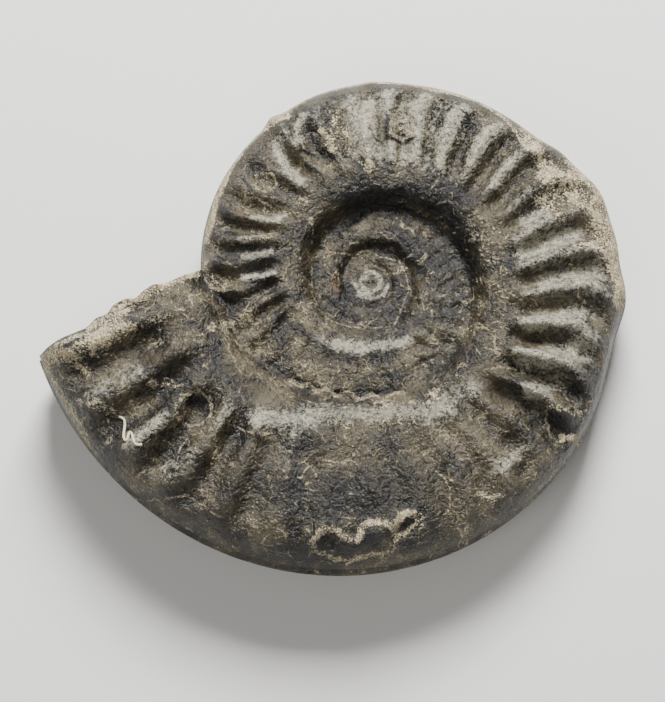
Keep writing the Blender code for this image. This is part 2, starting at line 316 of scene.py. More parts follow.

# Places that stand out, rubbed to a silver gloss and partly painted highlight, in the same form
RUBBED_AND_HIGHLIT = (
    (2.6, 0.9, (525, 362), (584, 352)), (1.9, 0.8, (530, 392), (556, 382)),
    (1.8, 0.8, (494, 470), (520, 452)), (2.0, 0.9, (525, 250), (570, 236)),
    (1.8, 0.9, (545, 281), (596, 272)), (1.6, 1.0, (532, 322), (580, 313)),
    (1.2, 0.9, (526, 222), (546, 212)), (2.8, 1.0, (256, 416), (304, 420)),
    (3.4, 0.9, (318, 412), (438, 410)), (2.6, 0.7, (440, 402), (480, 380)),
    (1.9, 1.0, (316, 342), (354, 346)), (1.9, 1.0, (358, 348), (404, 342)),
    (1.2, 0.7, (410, 338), (430, 326)), (1.5, 1.0, (276, 140), (279, 154), (288, 169), (300, 179)),
    (1.2, 0.9, (303, 116), (297, 128), (300, 140)), (1.2, 0.8, (355, 152), (355, 106)),
    (1.2, 0.8, (370, 152), (368, 104)), (1.2, 0.8, (387, 150), (388, 102)),
    (1.5, 0.8, (412, 150), (416, 110)), (1.3, 0.6, (444, 146), (454, 116)),
    (1.4, 0.6, (474, 158), (488, 132)), (1.4, 0.6, (497, 182), (512, 162)),
    (2.6, 0.7, (92, 388), (134, 366)), (2.4, 0.7, (130, 440), (160, 418)),
    (2.2, 0.7, (164, 474), (188, 448)), (1.2, 1.0, (243, 255), (272, 250)),
    (1.0, 1.0, (243, 239), (262, 236)), (1.2, 1.0, (243, 278), (273, 272)),
    (1.1, 1.0, (254, 216), (268, 220), (284, 214)), (2.6, 0.5, (214, 420), (238, 392)),
    (2.6, 0.4, (270, 470), (286, 440)), (1.4, 0.6, (440, 276), (456, 270)),
    (1.4, 0.6, (440, 296), (458, 290)), (1.3, 0.5, (336, 236), (360, 218)),
)
RUBBED_HEIGHT = 0.25
# Unevenness on three scales: cell and height in mm, on lattices turned by this cosine and sine
UNEVEN = ((6.5, 0.28), (2.9, 0.20), (1.5, 0.13))
ALONG, ASIDE = 0.8, 0.6
# A line of sight starts at this height in mm and is corrected that often
SIGHT_START, SIGHT_ROUNDS = 8.0, 8


def distance_to(x, y, corners):
    """Distance to a line through corners: the least distance to any of its straight parts."""
    nearest = np.full_like(x, np.inf)
    for (x1, y1), (x2, y2) in zip(corners, corners[1:] or corners):
        length = max(np.hypot(x2 - x1, y2 - y1), MERGED)
        along = np.clip(((x - x1) * (x2 - x1) + (y - y1) * (y2 - y1)) / length**2, 0.0, 1.0)
        nearest = np.minimum(nearest, np.hypot(x - x1 - along * (x2 - x1), y - y1 - along * (y2 - y1)))
    return nearest


def on_shell(pixel):
    """Shell x and y under a pixel: where its line of sight meets the flank, found in a few rounds."""
    line = aim @ sight(pixel)
    height = SIGHT_START
    for _ in range(SIGHT_ROUNDS):
        reach = (MIDDLE_HEIGHT + height - camera_place.z) / line.z
        x, y = camera_place.x + reach * line.x - AXIS_X, camera_place.y + reach * line.y - AXIS_Y
        below = flank_height(np.hypot(x, y), np.degrees(np.arctan2(x, y)), 1.0) - DIP * x
        height = 0.5 * (height + float(below))
    return x, y


def laid(marks):
    """The same marks, with each pixel turned to a place on the shell."""
    return [(half_width, share, list(map(on_shell, pixels))) for half_width, share, *pixels in marks]


def closeness(x, y, marks):
    """How near a point is to any mark: share times exp of minus the squared distance over half width."""
    far = np.ones_like(x)
    for half_width, share, corners in marks:
        far *= 1.0 - share * np.exp(-((distance_to(x, y, corners) / half_width) ** 2))
    return 1.0 - far


lenses, rubbed_and_highlit = laid(LENSES), laid(RUBBED_AND_HIGHLIT)


def surface_marks(x, y):
    """Height of ledge and knobs, exp(-(distance / radius)^power), lenses, rubbed places, unevenness."""
    height = LEDGE_HEIGHT * np.exp(-((distance_to(x, y, LEDGE) / LEDGE_HALF_WIDTH) ** LEDGE_EDGE))
    for knob_x, knob_y, radius, rise in KNOBS:
        height += rise * np.exp(-((np.hypot(x - knob_x, y - knob_y) / radius) ** KNOB_EDGE))
    height += RUBBED_HEIGHT * closeness(x, y, rubbed_and_highlit) - LENS_DEPTH * closeness(x, y, lenses)
    for seed, (cell, rise) in enumerate(UNEVEN):
        height += rise * unevenness(ALONG * x + ASIDE * y, ALONG * y - ASIDE * x, cell, seed)
    return height


print(len(lenses), "lenses and", len(rubbed_and_highlit), "rubbed places")

# %% [markdown]
# ## One strip along the spiral
# The mesh is a grid whose columns cross the whorl and whose rows run along it, from the middle of the
# coil to the broken aperture. Columns follow the ribs, so that no crest is cut into steps, and the last
# few bend until they lie along the break. The outer row of each whorl has the same points as the inner
# row of the next, so merging equal points joins the whorls into one closed skin.

# %% The break
BREAK_SAG, BREAK_CUTS = 1.5, 400
# The break swings by degrees, in two bulges listed by s, half width and share, with teeth on them
BREAK_SWING = 1.1
BREAK_BULGES = ((0.42, 0.20, 0.9), (0.82, 0.12, -0.8))
TEETH, TEETH_STEP = 0.5, 0.06


def break_radius(turn):
    """Radius of the straight line from tip to notch, by the sine rule, less a sag in its middle."""
    far, near = keel_radius(TIP_TURN), seam_radius(END_TURN)
    to_tip, to_end = np.radians(turn - TIP_TURN), np.radians(END_TURN - turn)
    straight = far * near * np.sin(to_tip + to_end) / (far * np.sin(to_tip) + near * np.sin(to_end))
    return straight - BREAK_SAG * np.sin(np.pi * (turn - TIP_TURN) / (END_TURN - TIP_TURN))


def row_radius(turn, s):
    """Radius at s: the seam's, plus s times the width of the whorl."""
    return seam_radius(turn) + s * (keel_radius(turn) - seam_radius(turn))


def break_turn(s):
    """The turn at which the break cuts the last whorl at s, from a fine table of cuts, and its swing."""
    turns = np.linspace(END_TURN, TIP_TURN, BREAK_CUTS)
    cuts = (break_radius(turns) - seam_radius(turns)) / (keel_radius(turns) - seam_radius(turns))
    swing = bumps(s, BREAK_BULGES) + TEETH * unevenness(s, 0.0 * s, TEETH_STEP, seed=13)
    return np.interp(s, cuts, turns) + BREAK_SWING * np.sin(np.pi * s / SHOULDER) * swing


print("the break meets the shoulder at", round(float(break_turn(SHOULDER)), 1), "degrees")

# %% Where the columns run
BEND_TURN = 200.0
TURN_COLUMNS, INNER_COLUMNS = 520, 940


def bare_share(turn):
    """The s at which the next whorl's seam lies: up to the shoulder from the notch onwards."""
    bare = (seam_radius(turn + 360.0) - seam_radius(turn)) / (keel_radius(turn) - seam_radius(turn))
    return np.where(turn < NOTCH_TURN, bare, SHOULDER)


def column_turn(rim_turn, s):
    """The turn at s of the column that ends at rim_turn: along the ribs, and at last along the break."""
    bend = ease((rim_turn - BEND_TURN) / (break_turn(SHOULDER) - BEND_TURN))
    ribs = rib_lag(rim_turn, bare_share(rim_turn)) - rib_lag(rim_turn, s)
    return rim_turn + (1.0 - bend) * ribs + bend * (break_turn(s) - break_turn(SHOULDER))


def rim_turns():
    """Even steps over the last turn, then each whorl inward starts where the next one's seam does."""
    whorl = np.linspace(NOTCH_TURN, break_turn(SHOULDER), TURN_COLUMNS + 1)
    turns = whorl
    while len(turns) < INNER_COLUMNS + TURN_COLUMNS + 1:
        turns = np.concatenate([column_turn(turns[:TURN_COLUMNS], 0.0) - 360.0, turns])
    return turns[-(INNER_COLUMNS + TURN_COLUMNS + 1):]


print("columns from", round(float(rim_turns()[0])), "to", round(float(rim_turns()[-1])), "degrees")

# %% Points of the two flanks and of the cap in the middle of the coil
# In the last turn the inner sheet ends at this s, which it reaches so many degrees past the notch
OUTER_PART, NOTCH_SPREAD = 0.80, 25.0
UPPER_CAP_ROWS, LOWER_CAP_ROWS = 9, 2
# In mm: a skin that keeps the marks inside the solid, and cell and height of the lower unevenness
TOP_SKIN, BACK_CELL, BACK_UNEVEN = 0.75, 3.0, 0.2
# The worn nucleus in mm: radius, width of its edge, height, slope, and rings by radius, half width, height
NUCLEUS_RADIUS, NUCLEUS_EDGE, NUCLEUS_HEIGHT, NUCLEUS_SLOPE = 2.6, 2.2, 0.8, 0.03
RINGS = ((0.0, 1.0, -0.30), (2.0, 0.50, 0.28), (2.7, 0.40, -0.16), (3.3, 0.40, 0.22))


def placed(radius, turn, height):
    """Polar to x and y, round the shell's axis, and a height over the dipping middle plane, not under 0."""
    x, y = radius * np.sin(np.radians(turn)), radius * np.cos(np.radians(turn))
    height = np.maximum(MIDDLE_HEIGHT - DIP * x + height, 0.0)
    return np.stack([x + AXIS_X, y + AXIS_Y, height], axis=-1)


def nucleus_height(radius):
    """The first whorls are worn to a low cone with a few rings round a pit."""
    return NUCLEUS_HEIGHT + NUCLEUS_SLOPE * radius + bumps(radius, RINGS)


def flank_points(radius, turn, side):
    """Points of the upper flank, side 1, with its marks, or of the lower one, side -1."""
    x, y = radius * np.sin(np.radians(turn)), radius * np.cos(np.radians(turn))
    if side < 0.0:
        uneven = BACK_UNEVEN * unevenness(x, y, BACK_CELL, seed=7)
        return placed(radius, turn, uneven - flank_height(radius, turn, BACK_RIBS))
    height = flank_height(radius, turn, 1.0) + surface_marks(x, y) - TOP_SKIN
    worn = ease((NUCLEUS_RADIUS + NUCLEUS_EDGE - radius) / NUCLEUS_EDGE)
    return placed(radius, turn, height + worn * (nucleus_height(radius) - height))


def flank_sheets(turns, inner_rows, outer_rows, side):
    """Three sheets: the bare part of all whorls, the outer part of the last, and the cap in the middle."""
    rim = turns[:, None]
    spread = ease((rim - NOTCH_TURN) / NOTCH_SPREAD)
    bare = np.where(rim <= NOTCH_TURN, bare_share(rim), SHOULDER + spread * (OUTER_PART - SHOULDER))
    s = bare * np.linspace(0.0, 1.0, inner_rows)
    turn = column_turn(rim, s)
    inner = flank_points(row_radius(turn, s), turn, side)
    s = (bare + (SHOULDER - bare) * np.linspace(0.0, 1.0, outer_rows))[INNER_COLUMNS:]
    turn = column_turn(rim[INNER_COLUMNS:], s)
    outer = flank_points(row_radius(turn, s), turn, side)
    loop = np.concatenate([inner[:TURN_COLUMNS, 0], inner[0, ::-1]])
    outwards = np.linspace(0.0, 1.0, UPPER_CAP_ROWS if side > 0.0 else LOWER_CAP_ROWS)
    x, y = (loop[:, :2] - (AXIS_X, AXIS_Y)).T[:, :, None] * outwards
    cap = flank_points(np.hypot(x, y), np.degrees(np.arctan2(x, y)), side)
    cap[:, -1] = loop
    return inner, outer, cap


print("nucleus", round(nucleus_height(0.0), 1), "mm high")

# %% [markdown]
# ## The rim and the broken face
# A belt closes the skin between the two flanks. Along the shell it has the three keels and two grooves
# that name this kind. Across the aperture it is the rough face where the shell broke. The lower flank
# has a third of the rows, so in the last row of the broken face one six-cornered face joins three
# steps above to one below.

# %% The belt
STRIDE = 3
# Keels and grooves: height as a share of the whorl's half thickness, depth as a share of its width
VENTER = ((0.36, 0.010), (0.17, 0.038), (0.00, 0.000), (-0.17, 0.038), (-0.36, 0.010))
# Roughness of the break and its cell in mm, and how far the lattice moves from row to row
ROUGH, ROUGH_CELL, ROW_SHIFT = 0.5, 1.7, 30.0


def edge_of(sheets):
    """The outer edge of a flank: the rim, then back along the break from the tip to the notch."""
    inner, outer = sheets[:2]
    return np.concatenate([outer[:, -1], outer[-1, -2:0:-1], inner[-1, ::-1]])


def belt_sheet(last, upper, lower):
    """Rows under the upper edge: the keel radius less grooves, or the break less its roughness."""
    edge, below = edge_of(upper), edge_of(lower)
    offset = edge[:, :2] - (AXIS_X, AXIS_Y)
    turn = np.degrees(np.arctan2(*offset.T))
    turn[: len(last)] = last
    turn[-1] = NOTCH_TURN
    broken = np.arange(len(edge)) >= len(last)
    broken[-1] = False
    known = np.concatenate([np.arange(len(last)), np.arange(len(last) - 1, len(edge), STRIDE)[1:]])
    low = np.interp(np.arange(len(edge)), known, below[:, 2])
    middle = MIDDLE_HEIGHT - DIP * offset[:, 0]
    along = offset[:, 0] - offset[:, 1]
    rows = [edge]
    for height, depth in VENTER:
        groove = depth * (keel_radius(turn) - seam_radius(turn))
        rough = ROUGH * (1.0 + unevenness(along, ROW_SHIFT * height + 0.0 * along, ROUGH_CELL, seed=11))
        radius = np.where(broken, np.hypot(*offset.T) - rough, keel_radius(turn) - groove)
        level = edge[:, 2] if height > 0.0 else low
        rows.append(placed(radius, turn, (level - middle) * abs(height) / SHOULDER_HEIGHT))
    return np.stack(rows, axis=1), below


print("belt of", len(VENTER) + 2, "rows, from one flank to the other")

# %% Put the sheets together
INNER_ROWS, OUTER_ROWS = 43, 13


def quads(columns, rows, first):
    """Corner numbers of each cell of a grid whose points start at that number."""
    corner = first + np.arange(columns - 1)[:, None] * rows + np.arange(rows - 1)
    return np.stack([corner, corner + rows, corner + rows + 1, corner + 1], axis=-1).reshape(-1, 4)


def ammonite_skin():
    """All sheets as points and faces."""
    turns = rim_turns()
    upper = flank_sheets(turns, INNER_ROWS, OUTER_ROWS, 1.0)
    lower = flank_sheets(turns, INNER_ROWS // STRIDE + 1, OUTER_ROWS // STRIDE + 1, -1.0)
    last = turns[INNER_COLUMNS:]
    belt, below = belt_sheet(last, upper, lower)
    points, faces, first = [], [], 0
    for sheet in (*upper, *lower, belt):
        points.append(sheet.reshape(-1, 3))
        faces += quads(*sheet.shape[:2], first).tolist()
        first += sheet.shape[0] * sheet.shape[1]
    points.append(below)
    above = first - belt.shape[1] + np.arange(1 - len(belt), 1) * belt.shape[1] + belt.shape[1] - 1
    under = first + np.arange(len(below))
    rim, cells = len(last) - 1, len(below) - len(last)
    faces += np.stack([above[:rim], above[1: rim + 1], under[1: rim + 1], under[:rim]], axis=1).tolist()
    corners = rim + STRIDE * np.arange(cells)
    sides = [above[corners + step] for step in range(STRIDE + 1)]
    faces += np.stack([*sides, under[rim + 1:], under[rim:-1]], axis=1).tolist()
    return np.concatenate(points), faces


points, faces = ammonite_skin()
mesh = bpy.data.meshes.new("ammonite_stone")
mesh.from_pydata(points * MM, [], faces)
body = bmesh.new()
body.from_mesh(mesh)
bmesh.ops.remove_doubles(body, verts=body.verts, dist=MERGED)
bmesh.ops.recalc_face_normals(body, faces=body.faces)
open_edges = sum(len(edge.link_faces) != 2 for edge in body.edges)
body.to_mesh(mesh)
body.free()
mesh.shade_smooth()
ammonite = bpy.data.objects.new("ammonite_stone", mesh)
bpy.context.scene.collection.objects.link(ammonite)
triangles = sum(len(face) - 2 for face in faces)
print(len(mesh.vertices), "points,", triangles, "triangles,", open_edges, "open edges")

# %% [markdown]
# ## Where each finish and painted light is
# The stone is dark, and silvery where it is rubbed. Granular crusts of calcite lie along the break,
# round the rim and over the upper right, and thin veins of it cross the flank like a torn net. Rims are
# olive brown, and iron has rusted in a few spots. Silver also serves as painted highlight on crests and
# on the upper and right flank, and shade is painted dark into hollows, seams, lenses and the lower part.
# The masks are worked out at each point of the mesh and kept as colours of its points, which the
# material reads.

# %% Crusts, veins, spots and painted shadows, as seen in the picture
# Each mark is listed as the lenses are: half width in mm, share, and pixels along it
CRUSTS = (
    (1.5, 0.9, (44, 366), (60, 357), (90, 340), (110, 322), (136, 300), (160, 287), (190, 270),
     (203, 263)),
    (1.0, 0.95, (43, 358), (59, 343), (84, 333), (98, 321), (111, 311), (123, 301), (146, 291),
     (168, 284), (196, 273)), (2.2, 0.9, (92, 348), (124, 326)), (1.6, 0.8, (68, 358), (90, 372)),
    (1.5, 0.8, (80, 402), (112, 410)), (0.9, 0.95, (50, 374), (62, 396), (82, 430), (92, 448)),
    (1.2, 0.6, (136, 328), (170, 314), (190, 322)),
    (0.9, 1.0, (207, 240), (215, 205), (228, 170), (246, 143), (270, 121), (300, 99), (330, 86),
     (370, 80), (410, 82), (437, 90)), (1.1, 0.8, (272, 124), (288, 116)),
    (2.6, 0.7, (212, 326), (250, 316)), (1.3, 0.7, (150, 380), (180, 386)),
    (2.6, 0.7, (330, 112), (352, 150), (372, 168)), (1.6, 0.6, (356, 128), (370, 146)),
    (1.2, 0.8, (396, 122), (410, 132)), (1.2, 0.9, (321, 130), (328, 136)),
    (1.0, 1.0, (328, 143), (333, 148)), (1.6, 0.6, (256, 176), (276, 190)),
    (1.8, 0.6, (240, 200), (270, 212)), (1.3, 0.8, (244, 238), (265, 238)),
    (1.4, 0.7, (210, 276), (226, 288)),
    (0.6, 0.9, (430, 87), (450, 92), (471, 98), (488, 106), (505, 118), (516, 131), (526, 146)),
    (2.0, 0.9, (526, 132), (538, 150)), (3.6, 0.78, (545, 168), (572, 196), (600, 214)),
    (3.0, 0.74, (600, 216), (612, 262)), (2.8, 0.7, (536, 196), (560, 214)),
    (2.2, 0.7, (572, 244), (612, 250)), (1.8, 0.8, (616, 262), (618, 300)),
    (2.6, 0.7, (548, 176), (590, 178)), (3.0, 0.6, (472, 236), (506, 270)),
    (2.0, 0.6, (494, 228), (512, 240)), (1.4, 0.7, (540, 236), (566, 252)),
    (2.4, 0.45, (514, 300), (536, 312)), (2.8, 0.42, (344, 404), (378, 400)),
    (2.8, 0.46, (388, 398), (428, 398)), (2.0, 0.5, (330, 420), (372, 432)),
    (1.8, 0.5, (384, 424), (420, 420)), (3.2, 0.36, (318, 412), (438, 408)),
    (1.8, 0.6, (434, 392), (466, 366)), (1.2, 0.7, (561, 355), (567, 361)),
    (1.2, 0.7, (561, 382), (567, 398)), (1.6, 0.9, (563, 436), (586, 446)),
    (1.2, 0.8, (550, 404), (580, 414)), (1.3, 0.9, (478, 492), (492, 498)),
    (0.7, 0.8, (456, 526), (468, 546)), (0.7, 0.8, (468, 526), (458, 545)),
    (0.5, 0.8, (474, 545), (491, 530)),
    (1.1, 1.0, (311, 545), (320, 532), (328, 528), (338, 532), (348, 540), (357, 541), (363, 524),
     (371, 521), (386, 523), (394, 531), (400, 519), (406, 512), (422, 517)),
    (0.8, 0.9, (316, 551), (332, 557), (348, 562), (363, 557), (379, 552), (392, 553), (396, 538),
     (416, 524)), (1.2, 0.7, (446, 512), (464, 514)), (1.4, 0.5, (300, 262), (318, 300)),
    (1.2, 0.5, (424, 260), (440, 280)),
)
VEINS = (
    (0.14, 1.0, (212, 416), (216, 441), (217, 457), (224, 467)),
    (0.14, 0.97, (187, 439), (174, 456), (164, 466), (146, 474)),
    (0.14, 0.97, (164, 499), (186, 494), (199, 502), (211, 511), (222, 517)),
    (0.14, 1.0, (219, 419), (234, 421), (244, 431), (259, 434), (271, 433)),
    (0.14, 0.94, (163, 527), (186, 537)),
    (0.22, 1.0, (176, 404), (184, 394), (198, 390), (210, 398), (211, 412), (202, 424), (186, 425),
     (177, 416), (176, 404)), (0.14, 0.94, (161, 380), (170, 391), (176, 384), (168, 378), (161, 380)),
    (0.14, 0.94, (239, 369), (247, 360), (255, 369), (247, 378), (239, 369)),
    (0.08, 0.97, (312, 266), (312, 291), (319, 307), (331, 320), (350, 326), (394, 325), (401, 309),
     (409, 288), (406, 274)),
    (0.14, 0.94, (406, 274), (399, 260), (381, 256), (366, 249), (352, 254), (337, 252), (323, 257)),
    (0.02, 0.93, (369, 212), (402, 212), (430, 226), (444, 239), (457, 257), (464, 280), (468, 301)),
    (0.34, 1.0, (290, 380), (300, 386), (308, 383), (316, 391), (326, 388), (336, 395), (348, 392),
     (360, 399), (372, 393), (384, 398), (396, 392), (406, 394)),
    (0.16, 0.95, (332, 412), (336, 424), (335, 436), (338, 444)),
    (0.14, 0.97, (352, 408), (360, 420), (372, 414), (384, 426)),
    (0.14, 0.97, (396, 402), (404, 414), (416, 406), (424, 416), (436, 402)),
    (0.14, 0.94, (308, 400), (320, 408), (332, 402)),
    (0.14, 1.0, (314, 461), (319, 457), (328, 461), (341, 463), (351, 458)),
    (0.12, 0.97, (301, 477), (309, 464), (317, 475), (309, 483), (301, 477), (284, 477), (269, 476)),
    (0.14, 0.94, (306, 484), (308, 496), (312, 507)), (0.14, 0.97, (261, 468), (268, 476), (273, 493)),
    (0.14, 0.94, (422, 522), (443, 518)), (0.14, 0.97, (436, 470), (443, 476), (450, 488), (450, 507)),
    (0.22, 1.0, (529, 496), (543, 485), (554, 472), (560, 465)),
    (0.2, 1.0, (494, 330), (496, 353), (516, 353)), (0.14, 1.0, (484, 369), (506, 367), (528, 369)),
    (0.22, 1.0, (571, 259), (578, 279), (579, 296), (586, 302)),
    (0.14, 0.97, (544, 234), (552, 246), (562, 240), (568, 254)),
    (0.14, 0.97, (510, 292), (520, 300), (530, 292), (538, 306)),
    (0.14, 0.94, (516, 312), (526, 302), (536, 316)),
    (0.14, 0.94, (464, 330), (478, 322), (492, 332), (508, 324)),
    (0.22, 1.0, (392, 118), (390, 132), (402, 138), (414, 134), (412, 118), (392, 118)),
    (0.14, 0.97, (256, 174), (272, 172), (277, 184), (266, 192), (256, 188), (256, 174)),
    (0.14, 0.97, (300, 134), (312, 131), (325, 140), (318, 151), (304, 148), (300, 134)),
    (0.14, 0.97, (240, 200), (256, 197), (272, 206), (262, 214), (244, 211)),
    (0.14, 0.94, (325, 110), (340, 132), (356, 150)),
    (0.22, 1.0, (210, 282), (216, 275), (227, 280), (224, 290), (212, 288), (210, 282)),
    (0.14, 0.94, (455, 118), (443, 146)), (0.14, 0.94, (490, 133), (473, 158)),
    (0.14, 0.97, (510, 161), (496, 181)), (0.14, 0.94, (420, 196), (436, 204), (448, 200), (462, 212)),
    (0.14, 0.92, (300, 226), (312, 214), (328, 208)), (0.14, 0.94, (436, 158), (440, 176), (430, 190)),
    (0.14, 0.94, (228, 404), (236, 388), (250, 384)),
    (0.16, 0.95, (548, 402), (562, 400), (578, 408), (586, 424), (580, 440), (564, 446), (552, 436),
     (546, 420), (548, 402)), (0.14, 0.94, (480, 400), (486, 412), (480, 428)),
    (0.14, 0.94, (506, 412), (520, 418), (530, 430)),
    (0.14, 0.94, (428, 430), (436, 444), (430, 456), (440, 466)),
    (0.14, 0.92, (392, 436), (400, 450), (396, 466)), (0.14, 0.94, (104, 366), (118, 360), (130, 364)),
    (0.14, 0.94, (152, 350), (164, 340), (178, 344)),
    (0.14, 0.97, (184, 330), (196, 342), (208, 338), (220, 348)),
    (0.14, 0.92, (232, 336), (240, 346), (252, 342)),
)
# Painted shadows: dark where shade falls, on the coil's wall that faces away from the light, in seams,
# crevices and hollows, and over the lower part of the shell
SHADOWS = (
    (7.0, 0.46, (240, 478), (330, 498), (420, 484)), (0.5, 0.9, (390, 136), (404, 141), (415, 136)),
    (3.0, 0.85, (352, 200), (380, 192), (412, 190), (440, 206)),
    (2.4, 0.75, (452, 222), (468, 248), (474, 272)), (2.0, 0.5, (326, 222), (306, 246), (300, 280)),
    (0.8, 1.0, (333, 230), (369, 210), (402, 210), (432, 224), (458, 254)),
    (0.7, 0.9, (318, 262), (312, 280)), (1.2, 0.7, (300, 330), (330, 352)),
    (1.1, 1.0, (188, 397), (198, 400)), (0.6, 1.0, (146, 366), (147, 369)),
    (1.4, 1.0, (552, 416), (562, 422)), (1.2, 0.8, (566, 426), (574, 430)),
    (1.4, 0.9, (322, 544), (346, 550), (372, 538)),
    (0.5, 0.9, (296, 379), (316, 387), (336, 391), (360, 393), (400, 388)),
    (1.0, 0.8, (306, 150), (320, 152)), (1.6, 0.7, (170, 370), (184, 382)),
    (0.35, 1.0, (299, 134), (306, 131), (314, 129)), (0.35, 1.0, (306, 150), (316, 151), (322, 146)),
    (0.4, 0.9, (322, 138), (334, 156)), (0.5, 0.9, (306, 163), (322, 173)),
    (0.35, 0.9, (252, 196), (262, 200)), (0.5, 0.9, (243, 178), (252, 190)),
    (0.4, 0.9, (276, 200), (292, 206)), (1.0, 0.9, (388, 118), (388, 136)),
    (1.4, 0.6, (232, 300), (236, 330)), (2.6, 0.5, (180, 500), (240, 536)),
)
OLIVE = (
    (3.0, 0.9, (486, 374), (500, 396)), (2.8, 0.7, (400, 490), (444, 496)),
    (2.4, 0.8, (152, 356), (182, 372)), (2.0, 0.8, (322, 216), (350, 204)),
    (1.3, 1.0, (309, 471), (309, 478)), (2.4, 0.6, (228, 366), (262, 390)),
    (2.2, 0.6, (240, 160), (262, 138)), (2.0, 0.6, (226, 196), (232, 180)),
    (2.8, 0.5, (470, 190), (500, 210)),
)
RUST = (
    (1.2, 0.9, (228, 240), (229, 252)), (1.5, 0.9, (216, 284), (230, 300)),
    (1.2, 1.0, (330, 253), (336, 258)), (1.4, 1.0, (334, 272), (336, 289)),
    (2.6, 0.5, (212, 314), (244, 328)), (1.1, 1.0, (240, 211), (249, 219)),
    (1.6, 0.4, (400, 404), (414, 412)), (1.4, 0.4, (480, 360), (492, 372)),
    (1.4, 0.5, (356, 326), (366, 330)), (1.2, 0.6, (240, 216), (250, 222)),
    (1.6, 0.4, (148, 372), (160, 384)), (1.0, 0.6, (436, 250), (440, 262)),
)
print(len(CRUSTS), "crusts,", len(VEINS), "veins,", len(SHADOWS) + len(OLIVE) + len(RUST), "spots")

# %% Masks
# Stretches of the shell, by middle turn and half width in degrees, and share
RIM_CRUSTS = ((-22.0, 56.0, 0.84), (74.0, 28.0, 0.85))
# Painted light: more silver over the ribs of the upper and right flank, where the light from behind falls
PAINTED_LIGHT_STRETCHES = ((12.0, 36.0, 0.68), (88.0, 34.0, 0.50))
# Crust on the rim: middle s and half width, and the mm over the middle plane where it begins and grows
RIM_BAND, RIM_BAND_Z = (0.985, 0.052), (1.0, 3.0)
# The flank by s: where silver begins, over how much crests and the painted light grow, and where both fade
FLANK_START, CRESTS_GROW, PAINTED_LIGHT_GROWS, FLANK_END, FLANK_FADES = 0.20, 0.20, 0.15, 0.95, 0.10
# Shares of silver on rib crests, on the rings of the nucleus and on the coil round it. On the crests
# and rings it is partly rubbed stone and partly painted highlight
CREST_SILVER_AND_HIGHLIGHT, RING_SILVER_AND_HIGHLIGHT, COIL_SHINE = 0.35, 1.2, 0.3
# The middle of the coil: radius and half width in mm of each ring, of the pit and of the coil's shine
INNER_RING, OUTER_RING, RING_GROOVE, PIT, COIL = (2.0, 0.5), (3.3, 0.4), (2.8, 0.3), (0.0, 1.1), (0.0, 9.0)
# In mm of y: the outer ring gets a painted highlight in front, and its groove painted shade behind
RING_FADES = 2.0
# Olive on the rim: share, the s where it begins and over which it grows, and mm of y over which it
# fades towards the front, leaving the dark stone there as painted shade
OLIVE_RIM, OLIVE_START, OLIVE_GROWS, OLIVE_SHADE_FADES = 0.7, 0.86, 0.06, 60.0
# An s past which a point isn't on this whorl
OFF_WHORL = 2.0
# Shares of painted shadow in the lenses between ribs, and in the pit and rear ring groove of the nucleus
LENS_SHADOW, NUCLEUS_SHADOW = 0.4, 0.8
# The lower flank is mottled with crust and rust, in patches of so many mm
BACK_MOTTLE, BACK_CRUST_CELL, BACK_RUST_CELL = 0.3, 9.0, 7.0
# A vein along the keel: middle turn and half width in degrees, and mm within the keel
KEEL_VEIN, KEEL_VEIN_INSET = (138.5, 10.0), 0.8
# In mm: how far a vein's mask reaches, and how far below the middle plane the upper marks end
VEIN_REACH, EDGE_REACH = 2.0, 5.0


def polar(x, y):
    """Turn from -90 to 270 and radius round the shell's axis."""
    turn = np.degrees(np.arctan2(x, y))
    return np.where(turn < NOTCH_TURN, turn + 360.0, turn), np.hypot(x, y)


def finish_and_light_mask(x, y, z, above):
    """Four values at each point: crust, rubbed silver with painted highlight, olive, and painted shadow."""
    turn, radius = polar(x, y)
    s = (radius - seam_radius(turn)) / (keel_radius(turn) - seam_radius(turn))
    outer = ease((FLANK_END - s) / FLANK_FADES)
    behind, front = ease(0.5 + y / RING_FADES), ease(0.5 - y / RING_FADES)

    mottle = BACK_MOTTLE * (1.0 + unevenness(x, y, BACK_CRUST_CELL, seed=21))
    crust = above * closeness(x, y, laid(CRUSTS)) + (1.0 - above) * mottle
    band_start, band_grows = RIM_BAND_Z
    crust += bumps(turn, RIM_CRUSTS) * swell(s, *RIM_BAND) * ease((z - band_start) / band_grows)

    # Silver on rib crests: partly rubbed stone, partly painted highlight
    crests = CREST_SILVER_AND_HIGHLIGHT * ease((s - FLANK_START) / CRESTS_GROW) * outer
    crests = crests * np.cos(2.0 * np.pi * rib_count(turn, s))
    silver_and_highlight = above * closeness(x, y, rubbed_and_highlit) + np.maximum(crests, 0.0)
    # Painted highlight on the rings of the nucleus, on the outer one only in front
    silver_and_highlight += RING_SILVER_AND_HIGHLIGHT * (swell(radius, *INNER_RING) + swell(radius, *OUTER_RING) * front)
    silver_and_highlight += COIL_SHINE * swell(radius, *COIL)
    # Painted light, making the upper and right flank brighter
    silver_and_highlight += bumps(turn, PAINTED_LIGHT_STRETCHES) * above * ease((s - FLANK_START) / PAINTED_LIGHT_GROWS) * outer

    olive_rim = OLIVE_RIM * ease((s - OLIVE_START) / OLIVE_GROWS) * (s < OFF_WHORL)
    # The olive rim fades out towards the front, which leaves the lower rim dark as painted shade
    olive = above * closeness(x, y, laid(OLIVE)) + olive_rim * ease(0.5 + y / OLIVE_SHADE_FADES)

    # Painted shadow from the listed places and from the lenses
    shadow = above * (closeness(x, y, laid(SHADOWS)) + LENS_SHADOW * closeness(x, y, lenses))
    # Painted shadow in the pit, and in the ring groove behind it
    shadow += above * NUCLEUS_SHADOW * (swell(radius, *PIT) + swell(radius, *RING_GROOVE) * behind)
    return np.clip(np.stack([crust, silver_and_highlight, olive, shadow], axis=1), 0.0, 1.0)


